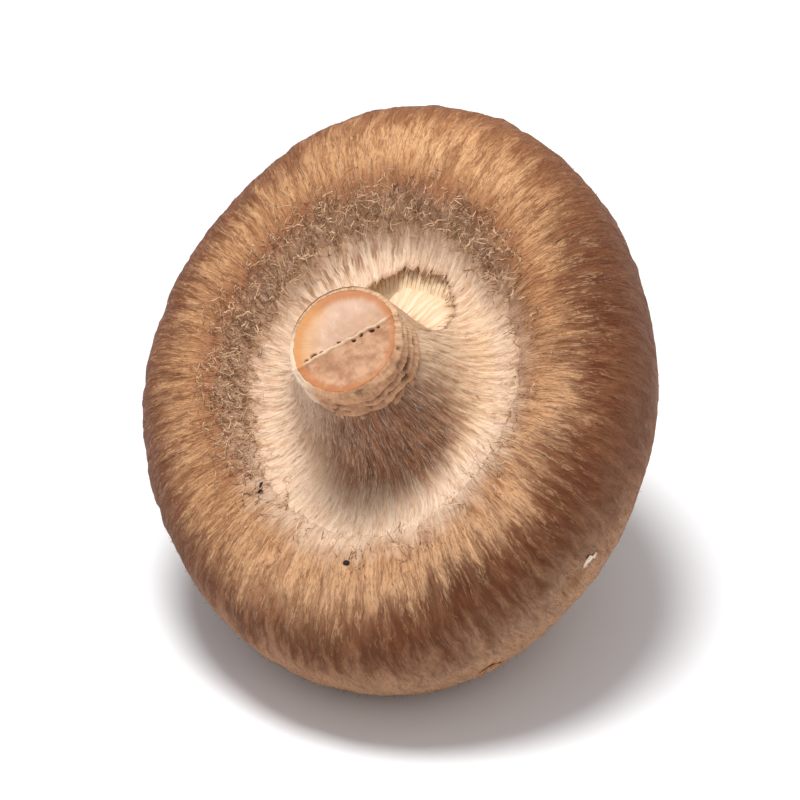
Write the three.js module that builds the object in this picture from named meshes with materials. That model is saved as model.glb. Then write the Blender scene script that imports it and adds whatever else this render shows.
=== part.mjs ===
// A fresh shiitake mushroom, as picked: it lies on the shoulder of its cap with the cut stem
// pointing up and forwards, so that its underside shows.
// Four pieces grow in it: the brown cap with its cracked crown and rolled-in margin, the ring
// of gills under it, the pale veil that still closes over the gills and is torn open beside
// the stem, and the stem with its cut end.
// Millimetres, +Z up. The origin is on the resting surface, under the middle of the mushroom.
//
// Each piece is worked out in the mushroom's own growing frame and then laid down:
// w runs along the stem, from the crown of the cap (negative) to the cut end (positive),
// with w = 0 at the widest section of the cap, and phi turns round the stem.

import * as THREE from "three";
import { mergeVertices } from "three/addons/utils/BufferGeometryUtils.js";

const DEG = Math.PI / 180;

// The cap.
const CAP_RADIUS = 30; // mean radius at the widest section
const CROWN_HEIGHT = 27; // widest section to the top of the crown
const CROWN_FULLNESS = 1.95; // 2 is an ellipse, more is fuller at the shoulder
const MARGIN_HEIGHT = 9; // widest section to the crest of the rolled margin
const MARGIN_CREST_RADIUS = 21.5;
const MARGIN_FULLNESS = 2.2;
const LIP_RADIUS = 16; // where the margin has rolled in as far as it goes
const LIP_HEIGHT = 5.2;
const LIP_UNDERCUT = 1.6; // the lip overhangs the space for the gills by this much
const CEILING_HEIGHT = 0.4; // the flesh that the gills hang from

// The cap is not round: its outline swells by these shares, in waves of 2, 3 and 4 lobes.
const OUTLINE_WAVES = [
  { lobes: 2, share: 0.0735, at: 105.4 * DEG },
  { lobes: 3, share: 0.0049, at: 69.2 * DEG },
  { lobes: 4, share: 0.0123, at: 17.5 * DEG },
];

// Soft lumps along the rolled margin, as shares of its crest's radius.
const MARGIN_LUMPS = [
  { lobes: 7, share: 0.013, at: 20 * DEG },
  { lobes: 11, share: 0.009, at: 8 * DEG },
  { lobes: 17, share: 0.005, at: 3 * DEG },
];

// A nick broken out of the widest section.
const NICK_TURN = 333 * DEG;
const NICK_HEIGHT = -1;
const NICK_REACH = 2.4;
const NICK_DEPTH = 0.9;

// The crown's cracks: a star of leaf-shaped furrows, with a ring of short ones round its middle.
const CRACK_DEPTH = 1;
const CRACK_ARMS = 7;
const CRACK_INNER = 3.2;
const CRACK_OUTER = 18;
const CRACK_HALF_WIDTH = 1.9;
const CRACK_RING_RADIUS = 8.5;
const CRACK_TURN = 295.7 * DEG; // turns the star so that a whole plate faces the surface
const CRACK_SEED = 71;

// The stem.
const STEM_END_HEIGHT = 19;
const STEM_END_RADIUS = 6.3;
const STEM_WAIST_GROWTH = 0.5; // how much wider it is halfway down
const STEM_FLARE_RADIUS = 8.6; // where it joins the flesh of the cap
const STEM_FLARE_DROP = 9.2; // height over which the flare dies out
const CUT_EDGE_ROUND = 0.5;
const CUT_STEP = 0.7; // the knife came in from two sides and left this step across the end
const CUT_TILT = 0.1; // fall of the lower half away from the step
const CUT_STEP_TURN = 47 * DEG;
const CUT_STEP_OFFSET = 0.5;
const COLLAR_RELIEF = 0.22; // rough rings on one flank, just under the cut
const COLLAR_PITCH = 1.7;
const COLLAR_REACH = 4.6;
const COLLAR_TURN = 318 * DEG;

// The veil's face, from its outer edge tucked under the lip to its inner edge on the stem.
const VEIL_THICKNESS = 0.7;
const VEIL_LINE = [
  { radius: 17.15, height: 4.1 },
  { radius: 16.0, height: 4.35 },
  { radius: 14.5, height: 5.0 },
  { radius: 12.6, height: 4.75 },
  { radius: 10.9, height: 4.5 },
  { radius: 9.6, height: 5.3 },
  { radius: 8.6, height: 6.9 },
  { radius: 7.9, height: 8.7 },
];
const VEIL_RIBS = 44;
const VEIL_RIB_RELIEF = 0.12;
const TEAR_TURN = 101 * DEG; // the middle of the tear, round the stem
const TEAR_HALF_WIDTH = 33 * DEG;
const TEAR_REACH = 0.6; // share of the veil's face that is torn back

// The gills.
const GILL_COUNT = 44;
const GILL_INNER_RADIUS = 9.3;
const GILL_OUTER_RADIUS = 16.9;
const GILL_EDGE_HEIGHT = 3.1;
const GILL_ROOT_HEIGHT = 1.3;
const GILL_SHARE = 0.52; // of each pitch that is blade, the rest is gap

// How it lies: leaned back on its shoulder, turned a little to the left, and sunk by the
// flat that its own weight has pressed into the cap.
const LEAN = 39.6 * DEG;
const TURN = -28.6 * DEG;
const SEAT_PRESS = 2.4;
const SEAT_BLEND = 0.15;

const GAP = 0.3; // between neighbouring pieces

const COLOURS = {
  cap: 0xa6754a,
  gills: 0xcfa877,
  veil: 0xe6cdae,
  stem: 0xd2a67c,
};

// Repeatable numbers between 0 and 1.
function seeded(seed) {
  let state = seed;
  return () => {
    state = (state * 16807) % 2147483647;
    return state / 2147483647;
  };
}

function smooth(low, high, value) {
  const t = Math.min(1, Math.max(0, (value - low) / (high - low)));
  return t * t * (3 - 2 * t);
}

function outline(phi) {
  let share = 1;
  for (const wave of OUTLINE_WAVES)
    share += wave.share * Math.cos(wave.lobes * (phi - wave.at));
  return share;
}

// How far a point that belongs to the cap is stretched by its outline: fully at the lip and
// beyond, not at all on the stem.
function stretch(phi, radius) {
  const follow = smooth(STEM_FLARE_RADIUS, LIP_RADIUS, radius);
  return 1 + (outline(phi) - 1) * follow;
}

// The difference between two turns, from 0 to half a turn.
function apart(a, b) {
  return Math.abs(Math.atan2(Math.sin(a - b), Math.cos(a - b)));
}

// The star of furrows as a list of straight strokes on the crown, seen along the stem.
function crackStrokes() {
  const random = seeded(CRACK_SEED);
  const strokes = [];
  const corners = [];
  for (let i = 0; i < CRACK_ARMS; i++) {
    const turn =
      CRACK_TURN + ((i + 0.3 * (random() - 0.5)) / CRACK_ARMS) * 2 * Math.PI;
    const reach = CRACK_OUTER * (0.7 + 0.3 * random());
    const bend = turn + 0.3 * (random() - 0.5);
    const from = [CRACK_INNER * Math.cos(turn), CRACK_INNER * Math.sin(turn)];
    const to = [reach * Math.cos(bend), reach * Math.sin(bend)];
    strokes.push({ from, to, half: CRACK_HALF_WIDTH * (0.75 + 0.5 * random()) });
    const ring = CRACK_RING_RADIUS * (0.8 + 0.4 * random());
    corners.push([ring * Math.cos(turn), ring * Math.sin(turn)]);
  }
  corners.forEach((from, i) => {
    const to = corners[(i + 1) % corners.length];
    strokes.push({ from, to, half: CRACK_HALF_WIDTH * 0.55 });
  });
  return strokes;
}

const STROKES = crackStrokes();

// Depth of the cracks at a point of the crown: each furrow is widest in its middle and has a
// flat bottom.
function crackDepth(x, y) {
  let depth = 0;
  for (const { from, to, half } of STROKES) {
    const dx = to[0] - from[0];
    const dy = to[1] - from[1];
    const along = ((x - from[0]) * dx + (y - from[1]) * dy) / (dx * dx + dy * dy);
    const t = Math.min(1, Math.max(0, along));
    const off = Math.hypot(x - from[0] - t * dx, y - from[1] - t * dy);
    const width = half * (0.3 + 0.7 * Math.sin(Math.PI * t) ** 0.7);
    depth = Math.max(depth, 1 - smooth(0.45 * width, width, off));
  }
  return CRACK_DEPTH * depth;
}

// From the growing frame to the resting one.
const LAID = new THREE.Matrix4()
  .makeRotationZ(TURN)
  .multiply(new THREE.Matrix4().makeRotationX(LEAN));

// How far the nick has taken the skin back at a point of the widest section.
function nickDepth(phi, height) {
  const round = apart(phi, NICK_TURN) * CAP_RADIUS;
  const off = Math.hypot(round, height - NICK_HEIGHT);
  return NICK_DEPTH * (1 - smooth(0.3 * NICK_REACH, NICK_REACH, off));
}

// The shares of the cap's skin that are crown and, up to the crest, margin. The rest is lip.
const CROWN_SHARE = 0.68;
const CREST_SHARE = 0.89;

// A point of the cap's outside by share of the way from the crown's pole to the lip.
function capSkin(phi, share) {
  const k = outline(phi);
  const wide = CAP_RADIUS * k;
  const lumps = MARGIN_LUMPS.reduce(
    (sum, wave) => sum + wave.share * Math.cos(wave.lobes * (phi - wave.at)),
    1,
  );
  const crest = MARGIN_CREST_RADIUS * k * lumps;
  const lip = LIP_RADIUS * k;
  if (share < CROWN_SHARE) {
    const t = (share / CROWN_SHARE) * (Math.PI / 2);
    const radius = wide * Math.sin(t) ** (2 / CROWN_FULLNESS);
    const height = -CROWN_HEIGHT * Math.cos(t) ** (2 / CROWN_FULLNESS);
    const sunk = crackDepth(radius * Math.cos(phi), radius * Math.sin(phi));
    const nick = nickDepth(phi, height);
    return [radius - sunk * Math.sin(t) * 0.6 - nick, height + sunk * Math.cos(t)];
  }
  if (share < CREST_SHARE) {
    const t = ((share - CROWN_SHARE) / (CREST_SHARE - CROWN_SHARE)) * (Math.PI / 2);
    const height = MARGIN_HEIGHT * Math.sin(t) ** (2 / MARGIN_FULLNESS);
    const reach = Math.max(0, Math.cos(t)) ** (2 / MARGIN_FULLNESS);
    return [crest + (wide - crest) * reach - nickDepth(phi, height), height];
  }
  const t = ((share - CREST_SHARE) / (1 - CREST_SHARE)) * (Math.PI / 2);
  return [
    crest - (crest - lip) * Math.sin(t),
    LIP_HEIGHT + (MARGIN_HEIGHT - LIP_HEIGHT) * Math.cos(t),
  ];
}

// Skins a closed body round the w axis from a profile of rings, each [radius, height] at phi.
// A ring of radius 0 is a pole; with no poles the last ring joins the first.
function revolve(columns, rings, profile, turnOf) {
  const positions = [];
  const faces = [];
  const rows = [];
  for (let j = 0; j < rings; j++) {
    const pole = profile(0, j)[0] === 0;
    rows.push({ start: positions.length / 3, pole });
    for (let i = 0; i < (pole ? 1 : columns); i++) {
      const phi = turnOf ? turnOf(i) : (i / columns) * 2 * Math.PI;
      const [radius, height] = profile(phi, j, i);
      positions.push(radius * Math.cos(phi), radius * Math.sin(phi), height);
    }
  }
  const closed = !rows[0].pole;
  for (let j = 0; j < (closed ? rings : rings - 1); j++) {
    const a = rows[j];
    const b = rows[(j + 1) % rings];
    for (let i = 0; i < columns; i++) {
      const next = (i + 1) % columns;
      const a0 = a.start + (a.pole ? 0 : i);
      const a1 = a.start + (a.pole ? 0 : next);
      const b0 = b.start + (b.pole ? 0 : i);
      const b1 = b.start + (b.pole ? 0 : next);
      if (!a.pole) faces.push(a0, a1, b1);
      if (!b.pole) faces.push(a0, b1, b0);
    }
  }
  const geometry = new THREE.BufferGeometry();
  geometry.setAttribute("position", new THREE.Float32BufferAttribute(positions, 3));
  geometry.setIndex(faces);
  return geometry;
}

// The lowest point of the laid-down cap before it is pressed flat.
function lowestPoint(geometry) {
  const laid = geometry.clone().applyMatrix4(LAID);
  laid.computeBoundingBox();
  return laid.boundingBox.min.z;
}

// Presses the part of a body that would sink below the surface flat against it.
function pressFlat(geometry, floor) {
  const back = LAID.clone().invert();
  const point = new THREE.Vector3();
  const place = geometry.getAttribute("position");
  for (let i = 0; i < place.count; i++) {
    point.fromBufferAttribute(place, i).applyMatrix4(LAID);
    const above = point.z - floor;
    if (above < SEAT_BLEND) {
      const kept = Math.max(0, above + SEAT_BLEND);
      point.z = floor + (kept * kept) / (4 * SEAT_BLEND);
    }
    point.applyMatrix4(back);
    place.setXYZ(i, point.x, point.y, point.z);
  }
  return geometry;
}

// The cap's outside, then back under the lip and across the ceiling over the gills.
function makeCap() {
  const columns = 88;
  const skinRings = 39;
  const chamber = LIP_RADIUS + LIP_UNDERCUT;
  const underRings = [
    [LIP_RADIUS + 0.3, LIP_HEIGHT - 0.4],
    [chamber, LIP_HEIGHT - 0.7],
    [chamber, CEILING_HEIGHT],
    [chamber / 2, CEILING_HEIGHT],
    [0, CEILING_HEIGHT],
  ];
  return revolve(columns, skinRings + underRings.length, (phi, j) => {
    if (j === 0) return [0, capSkin(phi, 0)[1]];
    if (j < skinRings) return capSkin(phi, j / (skinRings - 1));
    const [radius, height] = underRings[j - skinRings];
    return [radius * outline(phi), height];
  });
}

// A point of the veil's line by share of the way from its outer to its inner edge, with the
// direction in which its face looks.
function veilLine(share) {
  const place = share * (VEIL_LINE.length - 1);
  const i = Math.min(VEIL_LINE.length - 2, Math.floor(place));
  const t = place - i;
  const at = (key) => VEIL_LINE[i][key] + (VEIL_LINE[i + 1][key] - VEIL_LINE[i][key]) * t;
  const before = VEIL_LINE[Math.max(0, i)];
  const after = VEIL_LINE[Math.min(VEIL_LINE.length - 1, i + 1)];
  const run = before.radius - after.radius;
  const rise = after.height - before.height;
  const length = Math.hypot(run, rise);
  return {
    radius: at("radius"),
    height: at("height"),
    out: rise / length,
    up: run / length,
  };
}

// Share of the veil's face that is left at a turn round the stem.
function veilLeft(phi) {
  const ragged = 0.03 * Math.cos(17 * phi) + 0.02 * Math.cos(31 * phi);
  const torn =
    1 - smooth(0.72 * TEAR_HALF_WIDTH, TEAR_HALF_WIDTH, apart(phi, TEAR_TURN));
  return 1 - (TEAR_REACH + ragged) * torn;
}

function makeVeil() {
  const columns = 2 * VEIL_RIBS;
  const across = 9;
  return revolve(columns, 2 * across, (phi, j) => {
    const face = j < across;
    const step = face ? j : 2 * across - 1 - j;
    const share = (step / (across - 1)) * veilLeft(phi);
    const { radius, height, out, up } = veilLine(share);
    const rib = VEIL_RIB_RELIEF * Math.cos(VEIL_RIBS * phi) * Math.sin(Math.PI * share);
    const deep = face ? 0 : VEIL_THICKNESS;
    const reach = radius * stretch(phi, radius) - deep * out;
    return [reach, height + rib - deep * up];
  });
}

// A comb of blades standing on a thin common root: each pitch has two points on the blade and
// two in the gap beside it.
function makeGills() {
  const samples = [0, 0.06, GILL_SHARE + 0.06, GILL_SHARE + 0.12];
  const turnOf = (i) =>
    ((Math.floor(i / 4) + samples[i % 4]) / GILL_COUNT) * 2 * Math.PI;
  const base = CEILING_HEIGHT + GAP;
  const reach = GILL_OUTER_RADIUS - GILL_INNER_RADIUS;
  const steps = [0, 0.12, 0.35, 0.65, 0.88, 1].map((t) => GILL_OUTER_RADIUS - t * reach);
  return revolve(
    4 * GILL_COUNT,
    steps.length + 2,
    (phi, j, i) => {
      const onBlade = i % 4 === 1 || i % 4 === 2;
      if (j >= steps.length) {
        const radius = j === steps.length ? GILL_INNER_RADIUS : GILL_OUTER_RADIUS;
        return [radius * stretch(phi, radius), base];
      }
      const radius = steps[j];
      const end = j === 0 || j === steps.length - 1;
      const edge = end ? GILL_EDGE_HEIGHT - 0.9 : GILL_EDGE_HEIGHT;
      return [radius * stretch(phi, radius), onBlade ? edge : GILL_ROOT_HEIGHT];
    },
    turnOf,
  );
}

// The stem's radius at a height: nearly straight, with a flare where it joins the cap.
function stemRadius(height) {
  const flare = Math.max(0, 1 - (height - CEILING_HEIGHT) / STEM_FLARE_DROP);
  const slim = STEM_END_RADIUS + STEM_WAIST_GROWTH * smooth(STEM_END_HEIGHT, 8, height);
  return slim + (STEM_FLARE_RADIUS - slim) * flare ** 1.6;
}

// The rough rings under the cut, as height over the flank.
function collarRelief(phi, height) {
  const below = STEM_END_HEIGHT - height;
  const fade = smooth(COLLAR_REACH, 0.6 * COLLAR_REACH, below);
  const side = smooth(1.9, 0.7, apart(phi, COLLAR_TURN));
  const wander = 0.4 * Math.sin(3 * phi);
  return COLLAR_RELIEF * fade * side * Math.cos((2 * Math.PI * (below + wander)) / COLLAR_PITCH);
}

function makeStem() {
  const columns = 44;
  const foot = CEILING_HEIGHT + GAP;
  const top = STEM_END_HEIGHT - CUT_EDGE_ROUND;
  const rings = [[0, foot]];
  const coarse = 9;
  const collar = top - COLLAR_REACH;
  for (let j = 0; j < coarse; j++) {
    const height = foot + ((collar - foot) * j) / coarse;
    rings.push([stemRadius(height), height]);
  }
  const fine = 10;
  for (let j = 0; j <= fine; j++) {
    const height = collar + ((top - collar) * j) / fine;
    rings.push([stemRadius(height), height]);
  }
  const side = rings.length;
  rings.push([STEM_END_RADIUS - 0.2, STEM_END_HEIGHT - 0.12]);
  rings.push([STEM_END_RADIUS - CUT_EDGE_ROUND, STEM_END_HEIGHT]);
  rings.push([STEM_END_RADIUS * 0.6, STEM_END_HEIGHT]);
  rings.push([STEM_END_RADIUS * 0.25, STEM_END_HEIGHT]);
  rings.push([0, STEM_END_HEIGHT]);
  return revolve(columns, rings.length, (phi, j) => {
    const [radius, height] = rings[j];
    const relief = j > 0 && j < side ? collarRelief(phi, height) : 0;
    const across = radius * Math.sin(phi - CUT_STEP_TURN) - CUT_STEP_OFFSET;
    const lower = smooth(-0.35, 0.35, across) * smooth(top - 0.9, top + 0.1, height);
    const fall = CUT_STEP + CUT_TILT * Math.max(0, across);
    return [radius + relief, height - fall * lower];
  });
}

function piece(name, geometry) {
  const merged = mergeVertices(geometry, 1e-4);
  merged.computeVertexNormals();
  const material = new THREE.MeshStandardMaterial({
    color: COLOURS[name],
    roughness: 0.85,
    metalness: 0,
  });
  const mesh = new THREE.Mesh(merged, material);
  mesh.name = name;
  return mesh;
}

const capGeometry = makeCap();
const floor = lowestPoint(capGeometry) + SEAT_PRESS;

const grown = new THREE.Group();
grown.add(piece("cap", pressFlat(capGeometry, floor)));
grown.add(piece("gills", makeGills()));
grown.add(piece("veil", makeVeil()));
grown.add(piece("stem", makeStem()));
grown.setRotationFromMatrix(LAID);

// The origin goes under the middle of the mushroom's box, on the surface.
grown.updateMatrixWorld(true);
const box = new THREE.Box3().setFromObject(grown, true);
const middle = box.getCenter(new THREE.Vector3());
grown.position.set(-middle.x, -middle.y, -floor);

const mushroom = new THREE.Group();
mushroom.add(grown);

export default mushroom;
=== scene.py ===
import math

import bpy
import numpy as np
from mathutils import Matrix, Vector


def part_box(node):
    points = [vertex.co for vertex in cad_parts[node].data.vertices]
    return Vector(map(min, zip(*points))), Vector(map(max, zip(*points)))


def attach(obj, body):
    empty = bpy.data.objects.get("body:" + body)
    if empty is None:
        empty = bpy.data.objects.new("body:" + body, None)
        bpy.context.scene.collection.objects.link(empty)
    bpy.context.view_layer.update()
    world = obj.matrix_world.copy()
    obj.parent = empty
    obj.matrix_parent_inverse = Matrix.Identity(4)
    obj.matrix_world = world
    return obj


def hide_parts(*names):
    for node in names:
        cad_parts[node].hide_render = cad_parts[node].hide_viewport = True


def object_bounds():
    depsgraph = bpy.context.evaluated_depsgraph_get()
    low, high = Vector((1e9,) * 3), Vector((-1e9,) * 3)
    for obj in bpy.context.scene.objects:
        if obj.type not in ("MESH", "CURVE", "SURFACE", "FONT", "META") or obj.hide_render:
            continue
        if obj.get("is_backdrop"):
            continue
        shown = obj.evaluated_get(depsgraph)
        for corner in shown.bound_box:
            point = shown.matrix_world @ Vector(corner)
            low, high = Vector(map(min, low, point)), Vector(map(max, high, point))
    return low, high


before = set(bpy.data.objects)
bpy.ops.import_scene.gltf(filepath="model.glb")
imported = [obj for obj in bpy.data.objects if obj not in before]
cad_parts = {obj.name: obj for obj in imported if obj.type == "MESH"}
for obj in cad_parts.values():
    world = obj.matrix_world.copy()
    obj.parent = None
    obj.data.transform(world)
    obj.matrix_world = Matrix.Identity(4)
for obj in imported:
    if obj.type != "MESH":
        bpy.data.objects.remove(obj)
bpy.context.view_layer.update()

bl_info = {
    "name": "Shiitake mushroom",
    "version": (1, 0, 0),
    "blender": (4, 5, 0),
    "location": "3D View > Sidebar > Shiitake",
    "description": "Builds the finished surfaces of a shiitake mushroom that lies on its cap",
    "category": "Object",
}

# Lengths are in millimetres in the mushroom's own growing frame: height runs along the stem, from
# the crown of the cap (negative) to the cut end, with 0 at the widest section, and phi turns
# round the stem. The finished meshes are in metres, laid down as the solids are.
MM = 0.001
TAU = 2 * math.pi

# How the mushroom lies: its lean, its turn, and how far the crown is pressed flat under it.
LEAN = math.radians(39.6)
TURN = math.radians(-28.6)
SEAT_PRESS = 2.4
SEAT_BLEND = 0.15
SEAT_COLUMNS = 88
SEAT_RINGS = 38

# The cap: shares of its skin, from the crown's pole, that end the crown and the crest.
CROWN_SHARE = 0.68
CREST_SHARE = 0.89
CROWN_FULLNESS = 1.95
MARGIN_FULLNESS = 2.2
LIP_HEIGHT = 5.2
CEILING_HEIGHT = 0.4
OUTLINE_WAVES = ((2, 0.0735, 105.4), (3, 0.0049, 69.2), (4, 0.0123, 17.5))
MARGIN_LUMPS = ((7, 0.013, 20), (11, 0.009, 8), (17, 0.005, 3))
NICK = {"turn": math.radians(333), "height": -1, "reach": 2.4, "depth": 0.9}

# The crown's star of furrows.
CRACKS = {"arms": 7, "inner": 3.2, "outer": 18, "half": 1.9, "ring": 8.5, "seed": 71}
CRACK_TURN = math.radians(295.7)

# The veil's face from the slope of the margin up to the stem, as radius and height.
VEIL_LINE = (
    (19.6, 8.1), (18.5, 7.85), (17.5, 7.35), (16.6, 6.6), (15.5, 5.75), (14.2, 5.2),
    (12.8, 4.95), (11.5, 5.15), (10.4, 5.9), (9.4, 7.2), (8.5, 9.0), (7.7, 10.7),
    (7.1, 12.0), (6.3, 13.4),
)
VEIL_THICKNESS = 0.4
GILL_THICKNESS = 0.5 * MM
TEAR_TURN = math.radians(91)
TEAR_HALF_WIDTH = math.radians(47)
TEAR_LEFT = 0.41

STEM_FLARE_DROP = 9.2
CUT_STEP_TURN = math.radians(47)
CUT_STEP_OFFSET = -0.2
COLLAR_TURN = math.radians(308)
COLLAR_REACH = 6.2
COLLAR_RING_GAP = 1.5
CUT_RIM_ROUND = 0.45
MOUND_RISE = 3.3
# Turns round the stem in degrees: the pale mound in the tear, and the felted side of the foot.
MOUND_TURN = 84
FOOT_TURN = 297


def rgb(red, green, blue):
    """A colour named by its eye values from 0 to 255, as the linear values of a shader."""
    return tuple(
        (c / 255 / 12.92) if c <= 10 else ((c / 255 + 0.055) / 1.055) ** 2.4
        for c in (red, green, blue)
    )


# Settings that a user would change.

def length(name, description, millimetres):
    return bpy.props.FloatProperty(
        name=name, description=description, default=millimetres * MM, unit="LENGTH")


def tint(name, description, *eye):
    return bpy.props.FloatVectorProperty(
        name=name, description=description, default=rgb(*eye), subtype="COLOR", size=3,
        min=0, max=1)


class CapSettings(bpy.types.PropertyGroup):
    radius: length("Radius", "Mean radius at the widest section", 30)
    crown: length("Crown height", "Widest section to the top of the crown", 27)
    margin: length("Margin height", "Widest section to the crest of the rolled margin", 9)
    crest: length("Crest radius", "Radius of the crest of the rolled margin", 21.5)
    lip: length("Lip radius", "Radius at which the margin ends over the veil", 16)
    crack_depth: length("Crack depth", "Depth of the furrows in the crown", 1)
    skin: tint("Skin", "Colour of the brown skin", 160, 104, 66)
    tan: tint("Margin", "Colour of the pale top of the rolled margin", 222, 168, 120)
    flesh: tint("Flesh", "Colour of the flesh in the cracks", 226, 190, 146)


class VeilSettings(bpy.types.PropertyGroup):
    cream: tint("Cream", "Colour of the veil where it is thick", 234, 202, 174)
    felt: tint("Felt", "Colour of the hairy slope between the veil and the margin", 164, 106, 70)
    strands: bpy.props.FloatProperty(
        name="Strands", description="Loose strands on a square millimetre of veil",
        default=1.9, min=0, max=10)
    hairs: bpy.props.FloatProperty(
        name="Hairs", description="Curly hairs on a square millimetre of the margin's slope",
        default=5.0, min=0, max=12)
    seed: bpy.props.IntProperty(
        name="Seed", description="Changes where the strands and hairs lie", default=5)


class StemSettings(bpy.types.PropertyGroup):
    end_height: length("End height", "Widest section of the cap to the cut end", 19)
    end_radius: length("End radius", "Radius of the cut end", 6.3)
    flare_radius: length("Flare radius", "Radius where the stem joins the cap", 8.6)
    step: length("Cut step", "Step left across the end by two cuts", 0.7)
    cut: tint("Cut", "Colour of the cut flesh", 200, 160, 132)


class GillSettings(bpy.types.PropertyGroup):
    count: bpy.props.IntProperty(
        name="Count", description="Number of gills", default=150, min=12, max=240)
    inner: length("Inner radius", "Where the gills begin, by the stem", 9.3)
    outer: length("Outer radius", "Where the gills end, under the margin", 16.9)
    edge: length("Edge height", "Widest section of the cap to the gills' edges", 4.0)
    colour: tint("Gill", "Colour of the gills", 240, 204, 162)


# Shape formulas.

def smooth(low, high, value):
    t = np.clip((value - low) / (high - low), 0, 1)
    return t * t * (3 - 2 * t)


def apart(a, b):
    """The difference between two turns, from 0 to half a turn."""
    return np.abs(np.arctan2(np.sin(a - b), np.cos(a - b)))


def waves(phi, table):
    return 1 + sum(share * np.cos(n * (phi - math.radians(at))) for n, share, at in table)


def outline(phi):
    return waves(phi, OUTLINE_WAVES)


def stretch(phi, radius, flare, lip):
    """How far the outline carries a point: fully at the lip and beyond, not on the stem."""
    return 1 + (outline(phi) - 1) * smooth(flare, lip, radius)


def lumps(x, y, z, size, seed):
    """Smooth random relief from -1 to 1 whose lumps are about size across."""
    place = np.stack(np.broadcast_arrays(x, y, z), -1) / size
    cell = np.floor(place).astype(np.int64)
    part = place - cell
    part = part * part * (3 - 2 * part)
    total = 0
    for corner in range(8):
        step = np.array([(corner >> k) & 1 for k in range(3)])
        key = (cell + step) * np.array([73856093, 19349663, 83492791])
        mixed = (key[..., 0] ^ key[..., 1] ^ key[..., 2] ^ (seed * 2654435)) & 0xFFFFFFF
        mixed = (mixed * 1103515245 + 12345) & 0x7FFFFFFF
        mixed = (mixed ^ (mixed >> 13)) * 1597334677 & 0x7FFFFFFF
        weight = np.prod(np.where(step, part, 1 - part), -1)
        total = total + weight * (mixed / 0x3FFFFFFF - 1)
    return total


def fibres(phi, count, way, seed):
    """Relief like lumps that runs along the fibres: more count, finer fibres round the stem."""
    return lumps(np.cos(phi) * count, np.sin(phi) * count, way, 1, seed)


def crack_strokes():
    """The star of furrows as straight strokes on the crown: from, to and half width."""
    state = CRACKS["seed"]

    def random():
        nonlocal state
        state = state * 16807 % 2147483647
        return state / 2147483647

    strokes, corners = [], []
    for i in range(CRACKS["arms"]):
        turn = CRACK_TURN + (i + 0.3 * (random() - 0.5)) / CRACKS["arms"] * TAU
        reach = CRACKS["outer"] * (0.7 + 0.3 * random())
        bend = turn + 0.3 * (random() - 0.5)
        start = CRACKS["inner"] * np.array([math.cos(turn), math.sin(turn)])
        end = reach * np.array([math.cos(bend), math.sin(bend)])
        strokes.append((start, end, CRACKS["half"] * (0.75 + 0.5 * random())))
        ring = CRACKS["ring"] * (0.8 + 0.4 * random())
        corners.append(ring * np.array([math.cos(turn), math.sin(turn)]))
    for i, start in enumerate(corners):
        strokes.append((start, corners[(i + 1) % len(corners)], CRACKS["half"] * 0.55))
    return strokes


def crack_share(x, y):
    """How deep in a furrow a point of the crown is, from 0 to 1, with ragged edges."""
    x = x + 0.5 * lumps(x, y, 0, 2.6, 3) + 0.16 * lumps(x, y, 0, 0.8, 5)
    y = y + 0.5 * lumps(x, y, 9, 2.6, 4) + 0.16 * lumps(x, y, 9, 0.8, 6)
    depth = np.zeros_like(x)
    for start, end, half in crack_strokes():
        run = end - start
        t = np.clip(((x - start[0]) * run[0] + (y - start[1]) * run[1]) / (run @ run), 0, 1)
        off = np.hypot(x - start[0] - t * run[0], y - start[1] - t * run[1])
        width = half * (0.3 + 0.7 * np.sin(math.pi * t) ** 0.7)
        depth = np.maximum(depth, 1 - smooth(0.62 * width, width, off))
    return depth


LAID = Matrix.Rotation(TURN, 3, "Z") @ Matrix.Rotation(LEAN, 3, "X")


def surface_normals(points):
    """Normals of a grid of points whose first axis is the ring and whose second turns round."""
    around = np.roll(points, -1, 1) - np.roll(points, 1, 1)
    along = np.gradient(points, axis=0)
    normal = np.cross(around, along)
    return normal / np.maximum(np.linalg.norm(normal, axis=-1, keepdims=True), 1e-12)


def round_grid(phi, radius, height):
    return np.stack([radius * np.cos(phi), radius * np.sin(phi), height + 0 * phi], -1)


def skin(name, grid, material, poles=(True, True), attributes=None):
    """A closed mesh from a grid of points, in the growing frame, that turns round the stem.

    A pole closes an end of the grid with one point. With no poles the last ring joins the first.
    """
    rings, columns = grid.shape[:2]
    points = grid.reshape(-1, 3)
    ids = np.arange(rings * columns).reshape(rings, columns)
    rows = list(range(rings)) if any(poles) else [*range(rings), 0]
    faces = []
    for a, b in zip(rows, rows[1:]):
        lower, upper = ids[a], ids[b]
        quads = np.stack([lower, np.roll(lower, -1), np.roll(upper, -1), upper], -1)
        faces.extend(quads.tolist())
    extra = []
    for end, ring in ((0, 0), (1, -1)):
        if poles[end]:
            tip = len(points) + len(extra)
            extra.append(grid[ring].mean(0))
            edge = ids[ring]
            pairs = zip(edge, np.roll(edge, -1)) if end else zip(np.roll(edge, -1), edge)
            faces.extend([[int(a), int(b), tip] for a, b in pairs])
    if extra:
        points = np.vstack([points, extra])
    mesh = bpy.data.meshes.new(name)
    mesh.from_pydata((points * MM).tolist(), [], faces)
    for key, values in (attributes or {}).items():
        flat = values.reshape(rings * columns, -1)
        ends = [values[ring].mean(0, keepdims=True)
                for end, ring in ((0, 0), (1, -1)) if poles[end]]
        if ends:
            flat = np.vstack([flat, *[e.reshape(1, -1) for e in ends]])
        layer = mesh.attributes.new(key, "FLOAT_VECTOR", "POINT")
        layer.data.foreach_set("vector", flat.astype(np.float32).ravel())
    mesh.shade_smooth()
    mesh.materials.append(material)
    return mesh


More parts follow.
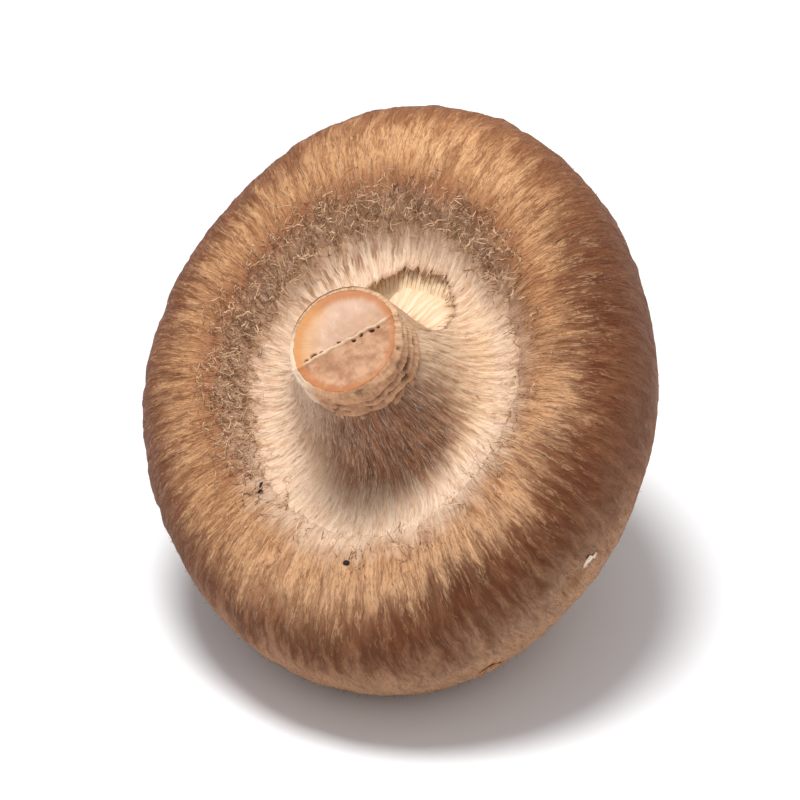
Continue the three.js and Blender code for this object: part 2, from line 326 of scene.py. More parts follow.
class Seat:
    """Where the laid-down mushroom meets the surface, worked out from the smooth cap."""

    def __init__(self):
        phi = np.linspace(0, TAU, SEAT_COLUMNS, endpoint=False)[None]
        share = (np.arange(1, SEAT_RINGS + 1) / SEAT_RINGS)[:, None]
        radius, height = cap_profile(phi, share)
        laid = round_grid(phi, radius, height).reshape(-1, 3) @ np.array(LAID).T
        low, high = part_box("cap")
        self.floor = laid[:, 2].min() + SEAT_PRESS
        self.shift = np.array([
            (low[0] + high[0]) / 2 / MM - (laid[:, 0].min() + laid[:, 0].max()) / 2,
            (low[1] + high[1]) / 2 / MM - (laid[:, 1].min() + laid[:, 1].max()) / 2,
            low[2] / MM - self.floor,
        ])

    def lay(self, mesh, press):
        """Turns a mesh from the growing frame to the resting one."""
        points = np.zeros(len(mesh.vertices) * 3)
        mesh.vertices.foreach_get("co", points)
        points = points.reshape(-1, 3) @ np.array(LAID).T / MM
        if press:
            above = points[:, 2] - self.floor
            kept = np.maximum(0, above + SEAT_BLEND)
            near = above < SEAT_BLEND
            points[near, 2] = self.floor + kept[near] ** 2 / (4 * SEAT_BLEND)
        mesh.vertices.foreach_set("co", ((points + self.shift) * MM).ravel())
        mesh.update()
        return mesh


def settings():
    return bpy.context.scene.shiitake


def cap_profile(phi, share):
    """Radius and height of the cap's smooth skin."""
    cap = settings().cap
    k = outline(phi)
    wide = cap.radius / MM * k
    crest = cap.crest / MM * k * waves(phi, MARGIN_LUMPS)
    lip = cap.lip / MM * k
    margin = cap.margin / MM
    crown = np.clip(share / CROWN_SHARE, 0, 1) * math.pi / 2
    roll = np.clip((share - CROWN_SHARE) / (CREST_SHARE - CROWN_SHARE), 0, 1) * math.pi / 2
    slope = np.clip((share - CREST_SHARE) / (1 - CREST_SHARE), 0, 1) * math.pi / 2
    tiny = 1e-9
    radius = np.where(
        share < CROWN_SHARE,
        wide * np.sin(crown) ** (2 / CROWN_FULLNESS),
        np.where(
            share < CREST_SHARE,
            crest + (wide - crest) * np.maximum(np.cos(roll), tiny) ** (2 / MARGIN_FULLNESS),
            crest - (crest - lip) * np.sin(slope),
        ),
    )
    height = np.where(
        share < CROWN_SHARE,
        -cap.crown / MM * np.maximum(np.cos(crown), tiny) ** (2 / CROWN_FULLNESS),
        np.where(
            share < CREST_SHARE,
            margin * np.sin(roll) ** (2 / MARGIN_FULLNESS),
            LIP_HEIGHT + (margin - LIP_HEIGHT) * np.cos(slope),
        ),
    )
    return radius, height + 0 * phi


def finish_piece(name, mesh, node, press=False):
    """Lays a mesh down as a piece that rides on the body. It may stand for a solid, its node."""
    piece = bpy.data.objects.new(name, Seat().lay(mesh, press))
    bpy.context.scene.collection.objects.link(piece)
    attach(piece, "root")
    if node:
        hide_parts(node)


# Node trees.

class Wire:
    """A number, vector or colour on its way through a node tree."""

    def __init__(self, tree, socket):
        self.tree = tree
        self.socket = socket

    def math(self, operation, *others):
        sockets = dict(enumerate((self, *others)))
        return self.tree.add("ShaderNodeMath", sockets, operation=operation)

    def __add__(self, other):
        return self.math("ADD", other)

    def __sub__(self, other):
        return self.math("SUBTRACT", other)

    def __rsub__(self, other):
        return self.tree.add("ShaderNodeMath", {0: other, 1: self}, operation="SUBTRACT")

    def __mul__(self, other):
        return self.math("MULTIPLY", other)

    def __truediv__(self, other):
        return self.math("DIVIDE", other)

    def __pow__(self, other):
        return self.math("POWER", other)

    __radd__ = __add__
    __rmul__ = __mul__

    def ramp(self, low, high):
        """From 0 at low to 1 at high, smoothly."""
        return self.tree.add("ShaderNodeMapRange", {
            "Value": self, 1: low, 2: high, 3: 0.0, 4: 1.0},
            interpolation_type="SMOOTHSTEP", clamp=True)

    def hill(self, low, top, high):
        """0 below low, 1 at top and 0 above high."""
        return self.ramp(low, top) * (1 - self.ramp(top, high))


def paint_value(colour):
    """A wire as it is, and a colour as four linear values: a tuple holds its eye values."""
    if isinstance(colour, Wire):
        return colour
    values = rgb(*colour) if isinstance(colour, tuple) else colour
    return (*values, 1)


class Tree:
    """Adds nodes to a shader or geometry tree."""

    def __init__(self, tree):
        self.tree = tree

    def add(self, kind, sockets=None, out=0, **options):
        """Adds a node with its inputs and options, and gives a wire from one of its outputs."""
        node = self.tree.nodes.new(kind)
        for key, value in options.items():
            setattr(node, key, value)
        for key, value in (sockets or {}).items():
            if isinstance(value, Wire):
                self.tree.links.new(value.socket, node.inputs[key])
            else:
                node.inputs[key].default_value = value
        return Wire(self, node.outputs[out])

    def split(self, vector):
        first = self.add("ShaderNodeSeparateXYZ", {0: vector})
        return [Wire(self, out) for out in first.socket.node.outputs]

    def join(self, x, y, z):
        return self.add("ShaderNodeCombineXYZ", {0: x, 1: y, 2: z})

    def mix(self, factor, a, b):
        """Colour a where factor is 0 and b where it is 1."""
        sockets = {0: factor, 6: paint_value(a), 7: paint_value(b)}
        return self.add("ShaderNodeMix", sockets, 2, data_type="RGBA", clamp_factor=True)

    def layers(self, paint, *layers):
        """The paint with layers over it: how much each covers, and its colour."""
        for amount, colour in layers:
            paint = self.mix(amount, paint, colour)
        return paint

    def noise(self, vector, scale, detail=2.0, rough=0.5, out=0):
        return self.add("ShaderNodeTexNoise", {
            "Vector": vector, "Scale": scale, "Detail": detail, "Roughness": rough}, out)

    def spots(self, vector, scale):
        return self.add("ShaderNodeTexVoronoi", {"Vector": vector, "Scale": scale})

    def attribute(self, name):
        return self.add("ShaderNodeAttribute", None, 1, attribute_name=name)


class Grain:
    """Reads the grain of a surface: the turn round the stem and the way along the profile."""

    def __init__(self, tree):
        self.tree = tree
        self.place = tree.add("ShaderNodeTexCoord", None, 3)
        self.x, self.y, self.along = tree.split(tree.attribute("grain"))
        self.share, self.mark, self.second = tree.split(tree.attribute("zone"))
        self.reach, self.height, self.third = tree.split(tree.attribute("form"))

    def drift(self, amount):
        """A slow wander that keeps streaks from running straight."""
        return (self.tree.noise(self.place, 300.0, 2.0) - 0.5) * amount

    def streaks(self, count, length, detail, rough, lift, drift=0.0):
        """Noise drawn out along the profile: count streaks a turn, length in centimetres."""
        wide = count / TAU
        vector = self.tree.join(self.x * wide + drift, self.y * wide + drift,
                                self.along * (1 / length) + lift)
        return self.tree.noise(vector, 1.0, detail, rough)

    def facing(self, degrees):
        """1 where the surface turns to that side of the stem, 0 at a right angle, -1 behind."""
        at = math.radians(degrees)
        return self.x * math.cos(at) + self.y * math.sin(at)


# Finishes. Each paint gives a colour, a relief, and the roughness where that varies.

def new_material(name, paint, roughness, depth, sheen):
    """A material from its paint, whose relief stands depth millimetres high."""
    material = bpy.data.materials.new(name)
    material.use_nodes = True
    nodes = Tree(material.node_tree)
    shader = material.node_tree.nodes["Principled BSDF"]
    for key, value in {
        "Roughness": roughness, "Specular IOR Level": 0.2, "Sheen Weight": sheen,
        "Sheen Roughness": 0.55, "Subsurface Weight": 0.12,
        "Subsurface Radius": (0.9, 0.5, 0.3), "Subsurface Scale": 1.2 * MM,
    }.items():
        shader.inputs[key].default_value = value
    colour, relief, shine = paint(nodes, Grain(nodes))
    bump = nodes.add("ShaderNodeBump", {
        "Strength": 1.0, "Distance": depth * MM, "Height": relief})
    for key, wire in (("Base Color", colour), ("Roughness", shine), ("Normal", bump)):
        if wire is not None:
            material.node_tree.links.new(wire.socket, shader.inputs[key])
    return material


def dish_paint(nodes, grain, paint, mid, broad):
    """Colours the dish from the margin's slope in to the stem, over the paint outside it."""
    veil = settings().veil
    reach = grain.reach + (broad - 0.5) * 2.0 + (mid - 0.5) * 2.6
    felted = reach.hill(15.8, 19.2, 22.4) * grain.facing(140).ramp(-0.35, 0.7)
    ring = reach - grain.facing(-60).ramp(0.0, 0.9) * 1.1
    right = (1 - reach.ramp(11.5, 14.0)) * grain.facing(15).ramp(0.45, 0.95)
    ragged = reach + (mid - 0.5) * 3.4 - grain.facing(300).ramp(0.25, 1.0) * 3.8
    foot = (1 - ragged.ramp(6.9, 10.2)) * grain.facing(306).ramp(0.1, 0.95)
    return nodes.layers(
        paint,
        # Brown felt above and to the left.
        (felted * 0.9, nodes.mix(mid.ramp(0.4, 0.7), veil.felt, (186, 138, 102))),
        # The cream ring of the veil.
        (1 - ring.ramp(14.6, 19.8),
         nodes.mix(mid.ramp(0.42, 0.68) * 0.7, veil.cream, (206, 164, 126))),
        # Yellowish tan and smooth on the right of the stem.
        (right * 0.4, (226, 182, 128)),
        # The stem's foot on the lower right is brown felt with a painted shadow of the stem over
        # it, and the fibres and the shadow end in a ragged edge.
        (foot * 0.97, nodes.mix(mid.ramp(0.35, 0.65), (164, 108, 72), (96, 54, 32))),
    )


def cap_paint(nodes, grain):
    cap, place = settings().cap, grain.place
    share, crack, edge = grain.share, grain.mark, grain.second
    dark, umber = (102, 48, 20), (66, 30, 14)
    drift = grain.drift(1.4)
    fine = grain.streaks(460, 0.2, 3, 0.7, 0.0, drift)
    mid = grain.streaks(180, 0.42, 3, 0.65, 4.0, drift)
    broad = grain.streaks(40, 0.9, 2, 0.55, 9.0)
    wide = grain.streaks(150, 0.55, 3, 0.6, 14.0, drift * 0.8)
    rough = grain.streaks(240, 0.5, 4, 0.72, 21.0, drift)
    patch = nodes.noise(place, 90.0, 3.0, 0.6)
    mottle = nodes.noise(place, 520.0, 3.0, 0.65)
    wander = share + (broad - 0.5) * 0.08 + (mid - 0.5) * 0.1 + (wide - 0.5) * 0.13
    right = grain.facing(-12).ramp(-0.15, 0.8)
    below = grain.facing(-75).ramp(0.0, 0.8)
    left = grain.facing(190).ramp(0.0, 0.9)
    pale = wander.hill(0.75, 0.86, 0.98)
    # Painted shade: the margin's right and lower right are darkened as if turned from the light.
    shade = right * (1 - wander.ramp(0.82, 0.9)) * wander.ramp(0.62, 0.7)
    blotch_and_shade = nodes.noise(place, 60.0, 2.0).ramp(0.42, 0.64) * shade
    band = wander.hill(0.68, 0.775, 0.87) * below
    felt = (1 - wander.ramp(0.66, 0.79)) * wander.ramp(0.3, 0.55) * below
    rim = wander.hill(0.46, 0.7, 0.86) * (1 - below)
    purplish = (1 - wander.ramp(0.68, 0.76)) * grain.facing(160).ramp(0.2, 0.9)
    # A painted glint on the wool's pale flecks, weaker in the painted shade and on the lower
    # side.
    painted_glint = (1 - fine.ramp(0.3, 0.46)) * (0.45 - shade * 0.35 - below * 0.2)
    outside = nodes.layers(
        # Brown skin in streaks and patches.
        cap.skin,
        (patch.ramp(0.36, 0.66), (190, 132, 86)),
        (mid.ramp(0.5, 0.7) * 0.6, dark),
        # The top of the roll is pale on every side, held back by painted shade on the right and
        # the lower right.
        (pale * (1 - right * 0.5), cap.tan),
        (mid.ramp(0.46, 0.66) * 0.55, (160, 104, 64)),
        ((1 - wide.ramp(0.4, 0.52)) * 0.55, (150, 94, 56)),
        (wide.ramp(0.56, 0.7) * 0.4 * pale, (232, 180, 128)),
        # Painted light: the pale top of the roll is lighter where it turns to the lower right.
        (grain.facing(-40).ramp(0.1, 0.9) * pale * 0.45, (236, 190, 148)),
        # Painted shade on the right and lower right, with darker brown blotches of the skin
        # inside it.
        (shade * (0.6 + 0.35 * mid.ramp(0.35, 0.6)), dark),
        (blotch_and_shade * (0.35 + 0.4 * wide.ramp(0.42, 0.6)), umber),
        # Dark streaks just outside the crest, below, and greyer felt on their crown side.
        (band * (0.2 + 0.8 * wide.ramp(0.43, 0.55)), (104, 58, 30)),
        (felt * 0.6, (186, 146, 112)),
        # A brown rim on the far side, purplish on the upper left.
        (rim * 0.8, (128, 78, 48)),
        (left * (0.2 + 0.75 * (1 - wander.ramp(0.79, 0.9))), (118, 68, 40)),
        (purplish * (0.25 + 0.45 * share.ramp(0.5, 0.62)), (112, 74, 62)),
        # Thin fibres, dark and light.
        (rough.hill(0.455, 0.49, 0.525) * 0.5, (112, 64, 36)),
        (rough.hill(0.53, 0.565, 0.6) * 0.4 * (0.15 + 0.85 * pale), (240, 196, 148)),
        # Fine wool: dark fibres, and a painted glint on its pale flecks that fades in the painted
        # shade and below.
        (fine.ramp(0.54, 0.72) * 0.55, dark),
        (painted_glint * (0.15 + 0.85 * wander.ramp(0.66, 0.8)), (214, 164, 116)),
    )
    # The middle of the crown has tan plates, dark pits, and pale furrows with dark torn edges.
    middle = 1 - (share + (patch - 0.5) * 0.3).ramp(0.3, 0.55)
    seam = nodes.noise(place, 170.0, 3.0, 0.6).hill(0.45, 0.5, 0.55)
    plates = nodes.mix(mottle.ramp(0.3, 0.7), (172, 116, 70), (206, 154, 102))
    open_crown = 1 - share.ramp(0.54, 0.66)
    pits = (1 - nodes.spots(place, 900.0).ramp(0.06, 0.22)) * mottle.ramp(0.48, 0.6)
    paint = nodes.layers(
        dish_paint(nodes, grain, outside, mid, broad),
        (middle * 0.8, nodes.mix(seam * 0.7, plates, (122, 76, 44))),
        (pits * open_crown * 0.9, umber),
        (crack.ramp(0.2, 0.7), nodes.mix(mottle.ramp(0.35, 0.75), (244, 206, 158), cap.flesh)),
        (edge * (0.55 + 0.4 * mottle), umber),
    )
    relief = fine * 0.5 + mid * 0.3 + rough * 0.5 + mottle * 0.3 - pits * 0.4 * open_crown
    return paint, relief, 0.66 + 0.26 * mid.ramp(0.3, 0.7)


def veil_paint(nodes, grain):
    drift = grain.drift(2.0)
    fine = grain.streaks(380, 0.2, 3, 0.65, 0.0, drift)
    mid = grain.streaks(170, 0.34, 3, 0.62, 3.0, drift)
    broad = grain.streaks(30, 0.9, 2, 0.5, 7.0)
    rough = grain.streaks(240, 0.5, 4, 0.72, 21.0, drift)
    slope = nodes.mix(mid.ramp(0.4, 0.65), settings().cap.tan, (178, 128, 88))
    slit_shade = grain.facing(132).ramp(0.86, 0.95) * grain.reach.hill(12.2, 13.7, 15.2)
    paint = nodes.layers(
        dish_paint(nodes, grain, slope, mid, broad),
        (fine.ramp(0.54, 0.72) * 0.35, (150, 106, 74)),
        ((1 - fine.ramp(0.28, 0.46)) * 0.35, (246, 224, 200)),
        (rough.hill(0.45, 0.485, 0.52) * 0.4, (158, 112, 80)),
        (rough.hill(0.53, 0.565, 0.6) * 0.4, (252, 234, 212)),
        # Short dark dashes beside the tear are painted shade, as of slits onto the dark hollow
        # over the gills.
        (slit_shade * mid.ramp(0.5, 0.58) * 0.75, (150, 108, 78)),
        # Torn edges dry to brown.
        (grain.mark.ramp(0.3, 1.0) * 0.5, (156, 112, 78)),
    )
    return paint, fine * 0.5 + mid * 0.4 + rough * 0.4, None


def stem_paint(nodes, grain):
    face, pit, half, reach = grain.mark, grain.second, grain.third, grain.reach
    fine = grain.streaks(150, 0.25, 3, 0.65, 0.0, grain.drift(1.5))
    broad = grain.streaks(30, 1.0, 2, 0.5, 5.0)
    mottle = nodes.noise(grain.place, 700.0, 3.0, 0.65)
    cloud = nodes.noise(grain.place, 230.0, 3.0, 0.55)
    mound = 1 - (grain.height + (fine - 0.5) * 3.0).ramp(4.6, 7.0)
    mound = mound * grain.facing(MOUND_TURN).ramp(0.5, 0.85)
    flank = nodes.layers(
        (216, 176, 138),
        (fine.ramp(0.35, 0.7), (180, 136, 102)),
        # Brown felt on the lower right, darkened also by painted shade where the flank turns from
        # the light, and a smooth cream flank on the left.
        (grain.facing(305).ramp(0.0, 0.65) * 0.6,
         nodes.mix(mottle.ramp(0.35, 0.65), (216, 162, 122), (160, 108, 76))),
        (grain.facing(222).ramp(0.72, 0.98) * 0.85, (246, 220, 192)),
        # The mound beside the stem is smooth and nearly white.
        (mound * 0.9, nodes.mix(fine.ramp(0.3, 0.6), (248, 226, 196), (234, 200, 162))),
    )
    wide = 0.35 + grain.facing(165) * 0.35 + (broad - 0.5) * 0.6
    rim = (reach + wide + (mottle - 0.5) * 0.7).ramp(4.9, 5.9)
    warm = grain.facing(200).ramp(0.3, 0.9) * (1 - half) * reach.ramp(2.0, 5.0)
    flesh = nodes.layers(
        # The cut is a pinkish beige.
        settings().stem.cut,
        (cloud.ramp(0.35, 0.65), (214, 178, 154)),
        (mottle.ramp(0.5, 0.8) * 0.35, (236, 212, 190)),
        # Light fibres stand along the step, and the half on the lower right is browner.
        (half.hill(0.02, 0.5, 0.98) * 0.8, (240, 208, 170)),
        (half.ramp(0.7, 1.0),
         nodes.mix(mottle.ramp(0.35, 0.7), (204, 158, 124), (170, 122, 90))),
        # A clear orange band runs along the rim, widest on the upper left.
        (rim * 0.85, (188, 116, 66)),
        (reach.ramp(5.68, 5.82) * 0.6, (112, 62, 36)),
        (warm * 0.45, (222, 166, 100)),
    )
    # The cut flesh over the flank, and painted shade in the pits of the collar and the cut.
    paint = nodes.layers(flank, (face.ramp(0.3, 0.7), flesh), (pit * 0.85, (84, 46, 28)))
    relief = (fine * 0.6 + mottle * 0.5) * (1 - face.ramp(0.1, 0.3) * 0.6)
    return paint, relief, None


def gill_paint(nodes, grain):
    mottle = nodes.noise(grain.place, 500.0, 3.0, 0.6)
    fine = nodes.noise(grain.place, 1600.0, 2.0, 0.5)
    paint = nodes.layers(settings().gills.colour, (mottle.ramp(0.3, 0.7), (250, 226, 192)),
                         (fine.ramp(0.5, 0.75) * 0.3, (180, 138, 98)))
    return paint, fine, None


def strand_finish(name, root, tip, roughness=0.6):
    """Hairs and flakes: one colour at the root and another at the tip."""
    def paint(nodes, grain):
        along = nodes.split(nodes.attribute("along"))[0]
        vary = nodes.noise(grain.place, 240.0, 2.0, 0.5)
        return nodes.mix((along + (vary - 0.5) * 1.2).ramp(0.1, 0.8), root, tip), vary, None

    return new_material(name, paint, roughness, depth=0.02, sheen=0.1)


# Pieces.

def pack(a, b, c, phi):
    """Three values over a grid as one vector attribute."""
    return np.stack(np.broadcast_arrays(a + 0 * phi, b, c), -1).astype(float)


def grain_of(phi, way):
    """The attribute that streaks follow: the turn as a unit vector, and centimetres along."""
    return pack(np.cos(phi) + 0 * way, np.sin(phi) + 0 * way, way / 10, phi)


class PieceOperator:
    """What the operators of the pieces share."""

    bl_options = {"REGISTER", "UNDO"}

    def execute(self, context):
        self.build()
        return {"FINISHED"}


CAP_COLUMNS = 440
CAP_RINGS = 186


def profile_way(phi, radius, height):
    """Millimetres along the profile from its first ring, as a column."""
    steps = np.linalg.norm(np.diff(round_grid(phi, radius, height), axis=0), axis=-1)
    return np.concatenate([[0], np.cumsum(steps.mean(1))])[:, None]


def cap_grid():
    """Points and attributes of the cap's detailed skin, from pole to lip."""
    cap = settings().cap
    phi = np.linspace(0, TAU, CAP_COLUMNS, endpoint=False)[None]
    share = (np.arange(1, CAP_RINGS + 1) / CAP_RINGS)[:, None]
    radius, height = cap_profile(phi, share)
    grid = round_grid(phi, radius, height)
    normal = surface_normals(grid)
    x, y, z = np.moveaxis(grid, -1, 0)
    way = profile_way(phi, radius, height)
    crown = 1 - smooth(0.5, 0.64, share)
    crack = crack_share(x, y) * crown
    edge = smooth(0.02, 0.3, crack) * (1 - smooth(0.3, 0.75, crack))
    fold = fibres(phi, 21, way * 0.24, 11)
    ripple = fibres(phi, 44, way * 0.5, 12)
    swell = lumps(x, y, z, 7.5, 13)
    rough = lumps(x, y, z, 1.3, 14) + 0.6 * lumps(x, y, z, 0.7, 15)
    margin = smooth(0.5, 0.66, share)
    slope = smooth(0.88, 0.93, share)
    # Furrows with raised edges, swells, folds along the margin, rough slope and rough crown.
    relief = (
        -cap.crack_depth / MM * crack + 0.22 * edge * crown + 0.20 * swell
        + (0.14 * fold + 0.11 * ripple + 0.04 * rough) * margin
        + 0.12 * rough * slope
        + 0.13 * rough * crown * (1 - 0.6 * crack)
    )
    nick = np.hypot(apart(phi, NICK["turn"]) * radius, height - NICK["height"])
    relief = relief - NICK["depth"] * (1 - smooth(0.2 * NICK["reach"], NICK["reach"], nick))
    return grid + normal * relief[..., None], {
        "grain": grain_of(phi, way), "zone": pack(share, crack, edge, phi),
        "form": pack(radius / outline(phi), height, 0, phi)}


def extend(values, rings):
    """The attributes with their last ring repeated for more rings."""
    return {key: np.concatenate([grid, np.repeat(grid[-1:], rings, 0)])
            for key, grid in values.items()}


class SHIITAKE_OT_cap(PieceOperator, bpy.types.Operator):
    """Builds the cap: cracked crown, rolled margin and the hollow over the gills"""

    bl_idname = "shiitake.cap"
    bl_label = "Cap"

    def build(self):
        cap = settings().cap
        grid, values = cap_grid()
        phi = np.linspace(0, TAU, CAP_COLUMNS, endpoint=False)
        lip = cap.lip / MM
        under = ((lip + 0.3, LIP_HEIGHT - 0.4), (lip + 1.6, LIP_HEIGHT - 0.7),
                 (lip + 1.6, CEILING_HEIGHT), (lip / 2, CEILING_HEIGHT), (1, CEILING_HEIGHT))
        rings = [round_grid(phi, r * outline(phi), h + 0 * phi) for r, h in under]
        grid = np.concatenate([grid, rings])
        material = new_material("cap_skin", cap_paint, roughness=0.8, depth=0.8, sheen=0.05)
        mesh = skin("cap_body", grid, material, attributes=extend(values, len(under)))
        finish_piece("cap_body", mesh, "cap", press=True)


def smooth_line(points, count):
    """A smooth line through points, as count points by share of the way."""
    points = np.array(points, float)
    ends = np.vstack([2 * points[0] - points[1], points, 2 * points[-1] - points[-2]])
    t = np.linspace(0, len(points) - 1, count)
    i = np.minimum(t.astype(int), len(points) - 2)
    f = (t - i)[:, None]
    a, b, c, d = (ends[i + k] for k in range(4))
    return 0.5 * (2 * b + (c - a) * f + (2 * a - 5 * b + 4 * c - d) * f**2
                  + (3 * b - a - 3 * c + d) * f**3)


VEIL_COLUMNS = 620
VEIL_RINGS = 104
VEIL_BACK_RINGS = 14


def veil_left(phi):
    """Share of the veil's width that is left at a turn round the stem."""
    ragged = 0.02 * fibres(phi, 14, 0, 21) + 0.022 * fibres(phi, 50, 0, 22)
    side = np.clip(apart(phi, TEAR_TURN) / TEAR_HALF_WIDTH, 0, 1)
    torn = (1 - side**2) ** 0.5
    return 1 - (1 - TEAR_LEFT - ragged) * torn


def veil_grid(rings):
    """Points, normals and attributes of the veil's face, from the margin to the stem."""
    flare, lip = settings().stem.flare_radius / MM, settings().cap.lip / MM
    phi = np.linspace(0, TAU, VEIL_COLUMNS, endpoint=False)[None]
    line = smooth_line(VEIL_LINE, 400)
    way = np.concatenate([[0], np.cumsum(np.linalg.norm(np.diff(line, axis=0), axis=1))])
    left = veil_left(phi)
    share = np.linspace(0, 1, rings)[:, None] * left
    reach = np.interp(share * way[-1], way, line[:, 0])
    height = np.interp(share * way[-1], way, line[:, 1])
    radius = reach * stretch(phi, reach, flare, lip)
    grid = round_grid(phi, radius, height)
    normal = surface_normals(grid)
    rib = fibres(phi, 27, share * 9, 31) + 0.6 * fibres(phi, 56, share * 14, 32)
    x, y, z = np.moveaxis(grid, -1, 0)
    soft, clump = lumps(x, y, z, 4, 33), lumps(x, y, z, 0.9, 34)
    foot = smooth(12, 9, reach) * smooth(1.6, 0.6, apart(phi, math.radians(FOOT_TURN)))
    rise = 0.15 * rib + 0.2 * soft + clump * (0.04 + 0.14 * foot)
    rise = rise * smooth(0, 0.05, share)
    torn = smooth(0.05, 0.0, left - share) * (left < 0.98)
    return grid + normal * rise[..., None], normal, {
        "grain": grain_of(phi, share * way[-1]), "zone": pack(share, torn, 0, phi),
        "form": pack(reach, height, 0, phi)}


class SHIITAKE_OT_veil(PieceOperator, bpy.types.Operator):
    """Builds the veil that closes over the gills, with its tear beside the stem"""

    bl_idname = "shiitake.veil"
    bl_label = "Veil"

    def build(self):
        face, _, values = veil_grid(VEIL_RINGS)
        back, normal, behind = veil_grid(VEIL_BACK_RINGS)
        back = (back - normal * VEIL_THICKNESS)[::-1]
        values = {key: np.concatenate([grid, behind[key][::-1]]) for key, grid in values.items()}
        material = new_material("veil_silk", veil_paint, roughness=0.74, depth=0.32, sheen=0.15)
        mesh = skin("veil_skin", np.concatenate([face, back]), material,
                    poles=(False, False), attributes=values)
        finish_piece("veil_skin", mesh, "veil")


STEM_COLUMNS = 240
STEM_RINGS = 124
CUT_RINGS = 46


def stem_side(phi, side):
    """Radius of the stem's side, and how deep in a pit of its collar each point is."""
    stem = settings().stem
    end, tip = stem.end_height / MM, stem.end_radius / MM
    flare = np.maximum(0, 1 - (side - CEILING_HEIGHT) / STEM_FLARE_DROP)
    slim = tip + 0.5 * (1 - smooth(8, end, side))
    radius = slim + (stem.flare_radius / MM - slim) * flare**1.6
    below = end - side
    # A smooth mound beside the stem, in the tear of the veil.
    mound = smooth(0.72, 0.3, apart(phi, math.radians(MOUND_TURN))) * smooth(5.9, 3.4, side)
    radius = radius + MOUND_RISE * mound - CUT_RIM_ROUND * smooth(0.5, 0, below) ** 2
    # Fibres, and rough pitted rings under the cut on one flank.
    fibre = fibres(phi, 16, side * 0.25, 41) + 0.5 * fibres(phi, 34, side * 0.5, 42)
    flank = smooth(2.0, 1.1, apart(phi, COLLAR_TURN))
    collar = flank * smooth(COLLAR_REACH + 1.5, COLLAR_REACH - 1.0, below)
    collar = collar * smooth(0.1, 0.35, below)
    x, y = radius * np.cos(phi), radius * np.sin(phi)
    wander = 0.6 * lumps(x, y, side * 0.4, 1.5, 43)
    ring = np.cos(TAU * (below + wander - COLLAR_RING_GAP / 2) / COLLAR_RING_GAP)
    grit = lumps(x, y, side, 0.55, 44)
    hole = smooth(-0.15, -0.7, ring * 0.45 + lumps(x, y, side, 0.8, 46)) * collar
    relief = (0.08 * fibre * (1 + mound) + collar * (0.2 * ring + 0.14 * grit) - 0.35 * hole
              + 0.12 * lumps(x, y, side, 4, 45))
    return radius + relief, hole * smooth(0.2, 0.9, hole)


# Pits beside the step: millimetres along it and across it, and their radius.
CUT_PITS = ((-4.6, 0.4, 0.3), (-3.7, 0.42, 0.48), (-2.8, 0.4, 0.24), (-0.7, 0.4, 0.22),
            (0.9, -0.45, 0.3), (1.9, -0.4, 0.26), (3.1, -0.45, 0.36), (3.9, -0.4, 0.22))


def cut_step(grid):
    """Height that two cuts leave across the stem's end, its pits, and its lower right half."""
    stem = settings().stem
    x, y = grid[..., 0], grid[..., 1]
    across = x * -math.sin(CUT_STEP_TURN) + y * math.cos(CUT_STEP_TURN) - CUT_STEP_OFFSET
    along = x * math.cos(CUT_STEP_TURN) + y * math.sin(CUT_STEP_TURN)
    ragged = across + 0.16 * lumps(along, 0, 0, 1.3, 48) + 0.08 * lumps(along, 0, 5, 0.4, 49)
    top = smooth(stem.end_height / MM - 1.4, stem.end_height / MM - 0.3, grid[..., 2])
    fall = smooth(-0.02, 0.2, ragged) * (stem.step / MM * 0.75 + 0.1 * np.maximum(0, across))
    ridge = smooth(-0.42, -0.14, ragged) * (1 - smooth(-0.08, 0.08, ragged))
    hole = 0 * along
    for at, beside, size in CUT_PITS:
        gap = np.hypot(along - at, (ragged - beside) * 1.4)
        hole = np.maximum(hole, smooth(size, size * 0.5, gap) * top)
    torn = smooth(1.6, 0.0, np.abs(ragged)) * lumps(x, y, 0, 0.45, 51)
    rise = top * (0.28 * ridge - fall + 0.12 * torn) - 0.4 * hole
    return rise, hole, 1 - smooth(-0.5, 0.15, ragged)


class SHIITAKE_OT_stem(PieceOperator, bpy.types.Operator):
    """Builds the stem with its stepped cut end"""

    bl_idname = "shiitake.stem"
    bl_label = "Stem"

    def build(self):
        end = settings().stem.end_height / MM
        phi = np.linspace(0, TAU, STEM_COLUMNS, endpoint=False)[None]
        side = np.linspace(CEILING_HEIGHT + 0.3, end, STEM_RINGS)[:, None]
        radius, pit = stem_side(phi, side)
        # The cut face, from its rim to its middle.
        inward = np.linspace(1, 0, CUT_RINGS + 1)[1:-1, None] ** 0.8
        cut_radius = radius[-1:] * inward
        x, y = cut_radius * np.cos(phi), cut_radius * np.sin(phi)
        dish = 0.1 * lumps(x, y, 0, 2.2, 47) + 0.05 * lumps(x, y, 0, 0.7, 52)
        dish = dish - 0.2 * smooth(0.97, 0.6, inward)
        grid = np.concatenate([round_grid(phi, radius, side + 0 * phi),
                               round_grid(phi, cut_radius, end + dish)])
        rise, hole, half = cut_step(grid)
        grid[..., 2] += rise
        face = np.concatenate([0 * radius, 1 + 0 * cut_radius])
        pit = np.concatenate([pit, 0 * cut_radius])
        share = np.concatenate([side, end + 6 * (1 - inward)])
        reach = np.concatenate([radius, cut_radius])
        material = new_material("stem_flesh", stem_paint, roughness=0.6, depth=0.24, sheen=0.08)
        mesh = skin("stem_body", grid, material, attributes={
            "grain": grain_of(phi, share),
            "zone": pack(share / end, face, np.maximum(pit, hole * face), phi),
            "form": pack(reach, grid[..., 2], half * face, phi)})
        finish_piece("stem_body", mesh, "stem")


